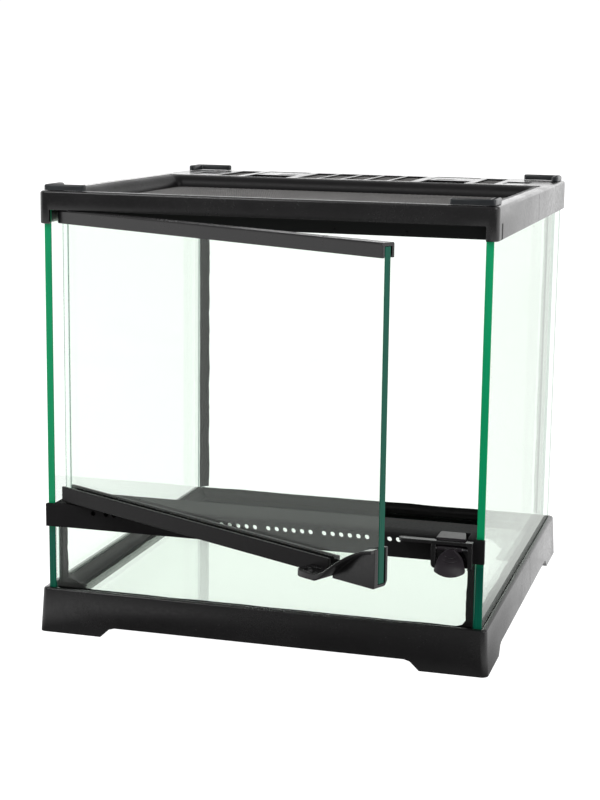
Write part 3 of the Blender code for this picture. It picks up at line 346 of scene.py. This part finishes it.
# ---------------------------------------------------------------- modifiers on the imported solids
def smooth_group():
    """Merge split vertices, shade smooth, and keep edges sharper than SMOOTH_ANGLE."""
    group = bpy.data.node_groups.new("smooth_by_angle", "GeometryNodeTree")
    group.interface.new_socket("Geometry", in_out="INPUT", socket_type="NodeSocketGeometry")
    group.interface.new_socket("Geometry", in_out="OUTPUT", socket_type="NodeSocketGeometry")
    add = group.nodes.new
    link = group.links.new
    source = add("NodeGroupInput")
    merge = add("GeometryNodeMergeByDistance")
    merge.inputs["Distance"].default_value = WELD
    faces = add("GeometryNodeSetShadeSmooth")
    edges = add("GeometryNodeSetShadeSmooth")
    edges.domain = "EDGE"
    edges.inputs["Shade Smooth"].default_value = False
    angle = add("GeometryNodeInputMeshEdgeAngle")
    over = add("FunctionNodeCompare")
    over.operation = "GREATER_THAN"
    over.inputs[1].default_value = math.radians(SMOOTH_ANGLE)
    target = add("NodeGroupOutput")
    link(source.outputs[0], merge.inputs["Geometry"])
    link(merge.outputs["Geometry"], faces.inputs["Geometry"])
    link(faces.outputs["Geometry"], edges.inputs["Geometry"])
    link(angle.outputs["Unsigned Angle"], over.inputs[0])
    link(over.outputs[0], edges.inputs["Selection"])
    link(edges.outputs["Geometry"], target.inputs[0])
    return group


SMOOTH = smooth_group()


def dress(name, mat):
    """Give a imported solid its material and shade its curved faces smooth."""
    obj = nodes[name]
    obj.data.materials.clear()
    obj.data.materials.append(mat)
    shade = obj.modifiers.new("smooth", "NODES")
    shade.node_group = SMOOTH


# ---------------------------------------------------------------- new pieces
def piece(name, bm, mat, body, slot, *replaced):
    bmesh.ops.recalc_face_normals(bm, faces=bm.faces)
    data = bpy.data.meshes.new(name)
    bm.to_mesh(data)
    bm.free()
    data.shade_smooth()
    data.set_sharp_from_angle(angle=math.radians(SMOOTH_ANGLE))
    data.materials.append(mat)
    obj = bpy.data.objects.new(name, data)
    bpy.context.scene.collection.objects.link(obj)
    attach(obj, body)
    if replaced:
        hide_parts(*replaced)
    return obj


def loft(bm, loops, closed=False):
    """Skin equal loops of points; open lofts are capped."""
    rows = [[bm.verts.new(p) for p in loop] for loop in loops]
    count = len(rows[0])
    pairs = list(zip(rows[:-1], rows[1:]))
    if closed:
        pairs.append((rows[-1], rows[0]))
    for a, b in pairs:
        for i in range(count):
            j = (i + 1) % count
            bm.faces.new((a[i], a[j], b[j], b[i]))
    if not closed:
        bm.faces.new(list(reversed(rows[0])))
        bm.faces.new(rows[-1])


def woven(name, x0, x1, y0, y1, z, pitch, mat, body, *replaced):
    """Plain weave: every wire passes over and under the wires that cross it."""
    bm = bmesh.new()
    cols = max(2, round((x1 - x0) / pitch))
    rows = max(2, round((y1 - y0) / pitch))
    dx = (x1 - x0) / cols
    dy = (y1 - y0) / rows
    lift = WIRE_R * WEAVE_LIFT

    def wire(points, side):
        loops = []
        for p in points:
            loop = []
            for k in range(WIRE_SIDES):
                a = 2 * math.pi * k / WIRE_SIDES + math.pi / 2
                loop.append(p + side * (WIRE_R * math.cos(a)) + Vector((0, 0, WIRE_R * math.sin(a))))
            loops.append(loop)
        loft(bm, loops)

    for r in range(rows):
        y = y0 + dy * (r + 0.5)
        line = [Vector((x0, y, z))]
        for c in range(cols):
            up = lift if (r + c) % 2 else -lift
            line.append(Vector((x0 + dx * (c + 0.5), y, z + up)))
        line.append(Vector((x1, y, z)))
        wire(line, Vector((0, 1, 0)))
    for c in range(cols):
        x = x0 + dx * (c + 0.5)
        line = [Vector((x, y0, z))]
        for r in range(rows):
            up = -lift if (r + c) % 2 else lift
            line.append(Vector((x, y0 + dy * (r + 0.5), z + up)))
        line.append(Vector((x, y1, z)))
        wire(line, Vector((1, 0, 0)))
    return piece(name, bm, mat, body, "dark_mesh", *replaced)


def uneven(*place, size=0.02):
    """Smooth repeatable unevenness from -1 to 1."""
    return noise.noise(Vector(place) / size)


def corner_bead(name, node, sx, sy, mat):
    """Tooled sealant in an upright corner: a concave fillet whose legs wander."""
    lo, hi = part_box(node)
    corner_x = hi.x if sx > 0 else lo.x
    corner_y = hi.y if sy > 0 else lo.y
    leg = hi.x - lo.x
    steps = 64 if hi.z - lo.z > 0.1 else 24
    loops = []
    for i in range(steps + 1):
        z = lo.z + (hi.z - lo.z) * i / steps
        leg_x = leg * (1.0 + 0.10 * uneven(1.3 * sx, 4.1 * sy, z, size=0.018))
        leg_x += leg * 0.05 * uneven(7.0 * sx, 2.0 * sy, z, size=0.005)
        leg_y = leg * (1.0 + 0.10 * uneven(9.0 * sy, 3.0 * sx, z, size=0.018))
        loop = [Vector((corner_x, corner_y, z)), Vector((corner_x - sx * leg_x, corner_y, z))]
        for k in range(1, BEAD_ARC):
            a = math.radians(90.0 * k / BEAD_ARC)
            ux = leg_x * (1 - 0.80 * math.sin(a))
            uy = leg_y * (1 - 0.80 * math.cos(a))
            loop.append(Vector((corner_x - sx * ux, corner_y - sy * uy, z)))
        loop.append(Vector((corner_x, corner_y - sy * leg_y, z)))
        loops.append(loop)
    bm = bmesh.new()
    loft(bm, loops)
    return piece(name, bm, mat, "tank", "black_silicone", node)


def floor_bead(name, node, mat):
    """Sealant round the floor pane: low along the front, with thicker dabs in the two front corners."""
    lo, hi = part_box(node)
    half_x = (hi.x - lo.x) / 2
    half_y = (hi.y - lo.y) / 2
    rise = hi.z - lo.z
    section = (
        (0.0, 0.0), (0.0, 1.0), (0.10, 0.97), (0.22, 0.62),
        (0.40, 0.34), (0.66, 0.16), (0.92, 0.07), (1.0, 0.0),
    )
    sides = (((-1, -1), (1, -1)), ((1, -1), (1, 1)), ((1, 1), (-1, 1)), ((-1, 1), (-1, -1)))
    loops = []
    for (ax, ay), (bx, by) in sides:
        for i in range(BEAD_STEPS):
            u = i / BEAD_STEPS
            cx = ax + (bx - ax) * u
            cy = ay + (by - ay) * u
            here = (cx * half_x, cy * half_y, 0.3)
            wide = 1.0 + 0.16 * uneven(*here, size=0.022) + 0.07 * uneven(*here, size=0.006)
            tall = 1.0 + 0.10 * uneven(here[0], here[1], 2.0, size=0.025)
            low = FRONT_LOW * max(0.0, 1.0 - (here[1] + half_y) / FRONT_DEPTH)
            wide *= 1.0 - low
            tall *= 1.0 - low
            for spot_x, size in ((-half_x, 0.015), (half_x, 0.007)):
                away = math.hypot(here[0] - spot_x, here[1] + half_y)
                dab = math.exp(-((away / size) ** 4))
                wide += 1.1 * dab
                tall += 1.0 * dab
            loop = []
            for inset, up in section:
                d = BEAD_REACH * inset * wide
                x = cx * (half_x - d)
                y = cy * (half_y - d)
                loop.append(Vector((x, y, lo.z + rise * up * tall)))
            loops.append(loop)
    bm = bmesh.new()
    loft(bm, loops, closed=True)
    return piece(name, bm, mat, "tank", "black_silicone", node)


# ---------------------------------------------------------------- stage, light and camera
def studio():
    scene = bpy.context.scene
    scene.view_settings.view_transform = "Standard"
    bm = bmesh.new()
    corners = ((-1, -1), (1, -1), (1, 1), (-1, 1))
    bm.faces.new([bm.verts.new((FLOOR_HALF * x, FLOOR_HALF * y, -FLOOR_DROP)) for x, y in corners])
    data = bpy.data.meshes.new("floor")
    bm.to_mesh(data)
    bm.free()
    floor = bpy.data.objects.new("floor", data)
    scene.collection.objects.link(floor)
    s = Shader("floor_white")
    seen_white = s.principled(rgb(0.30, 0.30, 0.30), 0.85, specular=0.1)
    seen_white.inputs["Emission Color"].default_value = rgb(1.0, 1.0, 1.0)
    seen_white.inputs["Emission Strength"].default_value = SEEN_WHITE
    place = s.add("SeparateXYZ")
    s.put(s.coord.outputs["Object"], place.inputs[0])
    lit = s.add("Emission")
    beyond = s.span(place.outputs["Y"], *FLOOR_BEHIND, *FLOOR_GLOW)
    beside = s.span(s.math("ABSOLUTE", place.outputs["X"]), *FLOOR_BESIDE, *FLOOR_GLOW)
    s.put(s.math("MAXIMUM", beyond, beside), lit.inputs["Strength"])
    direct = s.add("LightPath").outputs["Is Camera Ray"]
    data.materials.append(s.finish(s.mix_shaders(direct, lit.outputs[0], seen_white.outputs[0])))

    world = bpy.data.worlds.new("studio")
    world.use_nodes = True
    scene.world = world
    tree = world.node_tree
    tree.nodes.clear()
    coord = tree.nodes.new("ShaderNodeTexCoord")
    split = tree.nodes.new("ShaderNodeSeparateXYZ")
    tree.links.new(coord.outputs["Generated"], split.inputs[0])

    def ramp(socket, lo, hi, at_lo, at_hi):
        node = tree.nodes.new("ShaderNodeMapRange")
        for key, number in (("From Min", lo), ("From Max", hi), ("To Min", at_lo), ("To Max", at_hi)):
            node.inputs[key].default_value = number
        tree.links.new(split.outputs[socket], node.inputs["Value"])
        return node.outputs[0]

    behind = ramp("Y", *ROOM_BEHIND, 0.0, 1.0)
    level = ramp("Z", *ROOM_ABOVE, 1.0, 0.10)
    both = tree.nodes.new("ShaderNodeMath")
    both.operation = "MULTIPLY"
    tree.links.new(behind, both.inputs[0])
    tree.links.new(level, both.inputs[1])
    lift = tree.nodes.new("ShaderNodeMapRange")
    lift.inputs["To Min"].default_value = ROOM_GLOW[0]
    lift.inputs["To Max"].default_value = ROOM_GLOW[1]
    tree.links.new(both.outputs[0], lift.inputs["Value"])
    room = tree.nodes.new("ShaderNodeBackground")
    room.inputs["Color"].default_value = rgb(1.0, 1.0, 1.0)
    tree.links.new(lift.outputs[0], room.inputs["Strength"])
    seen = tree.nodes.new("ShaderNodeBackground")
    seen.inputs["Color"].default_value = rgb(1.0, 1.0, 1.0)
    seen.inputs["Strength"].default_value = SEEN_WHITE
    path = tree.nodes.new("ShaderNodeLightPath")
    mix = tree.nodes.new("ShaderNodeMixShader")
    tree.links.new(path.outputs["Is Camera Ray"], mix.inputs[0])
    tree.links.new(room.outputs[0], mix.inputs[1])
    tree.links.new(seen.outputs[0], mix.inputs[2])
    out = tree.nodes.new("ShaderNodeOutputWorld")
    tree.links.new(mix.outputs[0], out.inputs[0])

    for name, at, size, power in (
        ("key", (-1.1, -1.5, 2.0), 1.4, 32.0),
        ("fill", (1.7, -0.6, 1.5), 1.2, 15.0),
    ):
        lamp = bpy.data.lights.new(name, "AREA")
        lamp.energy = power
        lamp.size = size
        obj = bpy.data.objects.new(name, lamp)
        obj.location = at
        aim = Vector(LIGHTS_AIM) - Vector(at)
        obj.rotation_euler = aim.to_track_quat("-Z", "Y").to_euler()
        scene.collection.objects.link(obj)


def camera():
    yaw = math.radians(CAMERA_YAW)
    down = math.radians(CAMERA_DOWN)
    roll = math.radians(CAMERA_ROLL)
    ahead = Vector((math.sin(yaw) * math.cos(down), math.cos(yaw) * math.cos(down), -math.sin(down)))
    right = Vector((math.cos(yaw), -math.sin(yaw), 0.0))
    up = right.cross(ahead)
    turned = right * math.cos(roll) + up * math.sin(roll)
    above = up * math.cos(roll) - right * math.sin(roll)
    data = bpy.data.cameras.new("camera")
    data.sensor_width = SENSOR
    data.lens = SENSOR * FOCAL_SHARE
    data.shift_x, data.shift_y = CENTRE_SHIFT
    data.clip_start, data.clip_end = CLIP
    obj = bpy.data.objects.new("camera", data)
    axes = Matrix((turned, above, -ahead)).transposed()
    obj.matrix_world = Matrix.Translation(CAMERA_AT) @ axes.to_4x4()
    bpy.context.scene.collection.objects.link(obj)
    bpy.context.scene.camera = obj


# ---------------------------------------------------------------- dressing
def frames():
    low = (0.0052, 0.0048, 0.0052)
    high = (0.0088, 0.0082, 0.0087)
    satin = plastic("satin_black", low, high, 0.22, 0.000004, 0.0007, specular=0.5)
    for name in ("base_frame", "latch_housing"):
        dress(name, satin)
    dull = plastic("dull_black", low, high, 0.42, 0.000006, 0.0006, specular=0.16)
    for name in ("lid_frame", "door_bottom_channel"):
        dress(name, dull)
    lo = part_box("top_frame")[0]
    # the upper frame gets painted shade on the strip set back under its front band
    dress("top_frame", painted_recess_shade(satin, lo.y + PAINTED_SHADE_BACK, lo.z + PAINTED_SHADE_UNDER))
    for name in ("door_top_channel", "door_handle", "port_cover_left", "port_cover_right"):
        dress(name, satin)
    rail_low = (0.0085, 0.0082, 0.0085)
    rail_high = (0.0130, 0.0125, 0.0130)
    matt = plastic("matt_black", rail_low, rail_high, 0.58, 0.000008, 0.0006, specular=0.08)
    dress("front_rail", matt)
    tab = plastic("latch_satin", (0.018, 0.014, 0.018), (0.030, 0.024, 0.030), 0.36, 0.000006, 0.0005)
    dress("latch_lever", tab)
    pad = rubbery("pad_rubber", (0.006, 0.008, 0.010), (0.012, 0.015, 0.018), 0.34)
    for name in ("front_left", "front_right", "rear_left", "rear_right"):
        dress("corner_pad_" + name, pad)
    steel = steel_look("bright_steel", (0.66, 0.66, 0.67), (0.44, 0.43, 0.42))
    for name in ("latch_pin", "hinge_pin_upper", "hinge_pin_lower"):
        dress(name, steel)
    dress("latch_spring", steel_look("blackened_steel", (0.09, 0.09, 0.10), (0.03, 0.028, 0.026)))


def panes():
    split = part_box("front_rail")[0].z + 0.002
    bright = (0.003, 0.345, 0.135)
    teal = (0.002, 0.100, 0.070)
    hinge = next(j for j in frame["joints"] if j["name"] == "door_hinge")
    opened = math.radians(hinge["range_deg"][1])
    turned = (math.sin(-opened), -math.cos(opened), 0.0)
    for name, across, edge in (
        ("left_glass", (1.0, 0.0, 0.0), bright),
        ("right_glass", (1.0, 0.0, 0.0), bright),
        ("back_glass", (0.0, 1.0, 0.0), bright),
        ("front_lower_glass", (0.0, 1.0, 0.0), bright),
        ("bottom_glass", (0.0, 0.0, 1.0), bright),
        ("door_glass", turned, (0.004, 0.095, 0.060)),
    ):
        data = nodes[name].data
        spots = [v.co.dot(Vector(across)) for v in data.vertices]
        middle = (min(spots) + max(spots)) / 2
        data.materials.clear()
        data.materials.append(glass_look(name + "_look", across, middle, edge, teal, split))


def sealant():
    mat = silicone_look("black_sealant")
    for name, sx, sy in (
        ("seam_rear_left", -1, 1),
        ("seam_rear_right", 1, 1),
        ("seam_front_left", -1, -1),
        ("seam_front_right", 1, -1),
    ):
        corner_bead("bead_" + name[5:], name, sx, sy, mat)
    floor_bead("bead_floor", "seam_bottom", mat)


def meshes():
    wire = wire_look("coated_wire")
    lo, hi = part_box("lid_mesh")
    z = (lo.z + hi.z) / 2
    x0, x1 = lo.x - WEAVE_TUCK, hi.x + WEAVE_TUCK
    y0, y1 = lo.y - WEAVE_TUCK, hi.y + WEAVE_TUCK
    woven("lid_weave", x0, x1, y0, y1, z, LID_PITCH, wire, "lid", "lid_mesh")
    for side in ("centre", "left", "right"):
        node = "vent_mesh_" + side
        lo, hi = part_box(node)
        z = (lo.z + hi.z) / 2
        woven("vent_weave_" + side, lo.x, hi.x, lo.y, hi.y, z, VENT_PITCH, wire, "tank", node)


studio()
camera()
frames()
panes()
sealant()
meshes()
